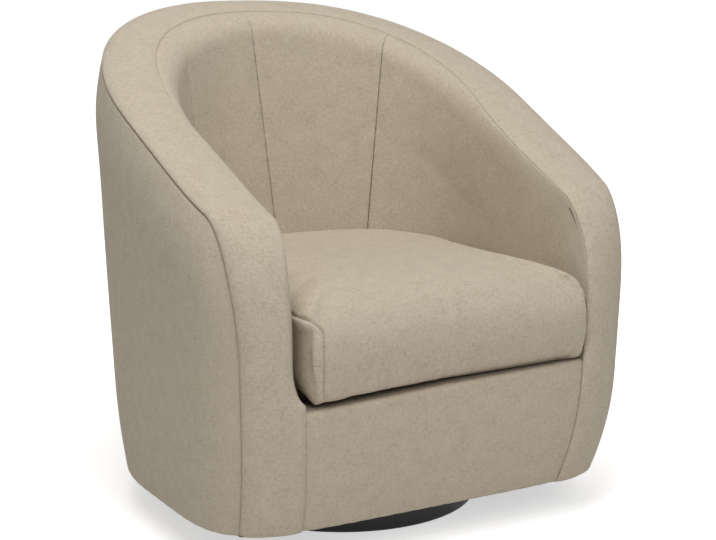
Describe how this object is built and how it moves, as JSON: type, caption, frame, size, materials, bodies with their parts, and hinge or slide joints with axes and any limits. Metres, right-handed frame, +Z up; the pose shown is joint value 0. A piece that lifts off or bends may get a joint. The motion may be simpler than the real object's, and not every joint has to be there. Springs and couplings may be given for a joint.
{
  "type": "swivel tub chair",
  "caption": "Upholstered barrel armchair with a sloping rim, fan-seamed inside back and loose seat cushion, turning on a ball ring over a low round base.",
  "frame": {"origin": "on the floor, on the swivel axis, at the middle of the centre floor pad", "axes": "+Z up along the swivel axis, -Y towards the front of the seat, X across the chair"},
  "size_m": [0.7758, 0.7322, 0.8194],
  "materials": {
    "cover_fabric": "woven heathered",
    "hidden_cloth": "matt",
    "deck_felt": "felted",
    "frame_wood": "sawn",
    "black_wood": "black lacquer",
    "zinc_steel": "zinc plated",
    "cage_brass": "pressed",
    "pad_rubber": "matt"
  },
  "bodies": {
    "base": {"floor_pads": "pad_rubber", "base_disc": "black_wood", "base_riser": "black_wood", "riser_screws": "zinc_steel", "lower_plate": "zinc_steel", "lower_screws": "zinc_steel", "centre_pin": "zinc_steel"},
    "ball_ring": {"ball_cage": "cage_brass", "bearing_balls": "zinc_steel"},
    "shell": {"upper_plate": "zinc_steel", "plate_bolts": "zinc_steel", "board_nuts": "zinc_steel", "mounting_board": "frame_wood", "cross_rails": "frame_wood", "bottom_rail_left": "frame_wood", "bottom_rail_right": "frame_wood", "bottom_rail_back": "frame_wood", "front_rail": "frame_wood", "front_posts": "frame_wood", "side_posts": "frame_wood", "back_posts": "frame_wood", "top_rail_left": "frame_wood", "top_rail_right": "frame_wood", "top_rail_back": "frame_wood", "seat_rail_left": "frame_wood", "seat_rail_right": "frame_wood", "seat_rail_back": "frame_wood", "corner_blocks": "frame_wood", "seat_straps": "hidden_cloth", "deck_pad": "deck_felt", "bottom_cloth": "hidden_cloth", "outside_left": "cover_fabric", "outside_right": "cover_fabric", "outside_back": "cover_fabric", "border_band": "cover_fabric", "inside_arm_left": "cover_fabric", "inside_arm_right": "cover_fabric", "inside_back_left": "cover_fabric", "inside_back_right": "cover_fabric", "front_panel": "cover_fabric"},
    "cushion": {"seat_cushion": "cover_fabric"}
  },
  "joints": [
    {"name": "swivel", "type": "hinge", "parent": "base", "child": "shell", "pos_m": [0, 0, 0.05], "axis": [0, 0, 1], "continuous": true},
    {"name": "ball_ring_turn", "type": "hinge", "parent": "base", "child": "ball_ring", "pos_m": [0, 0, 0.05], "axis": [0, 0, 1], "continuous": true},
    {"name": "cushion_lift", "type": "slide", "parent": "shell", "child": "cushion", "axis": [0, 0, 1], "range_m": [0, 0.55]}
  ],
  "couplings": [
    {"joint": "ball_ring_turn", "follows": "swivel", "ratio": 0.5}
  ]
}
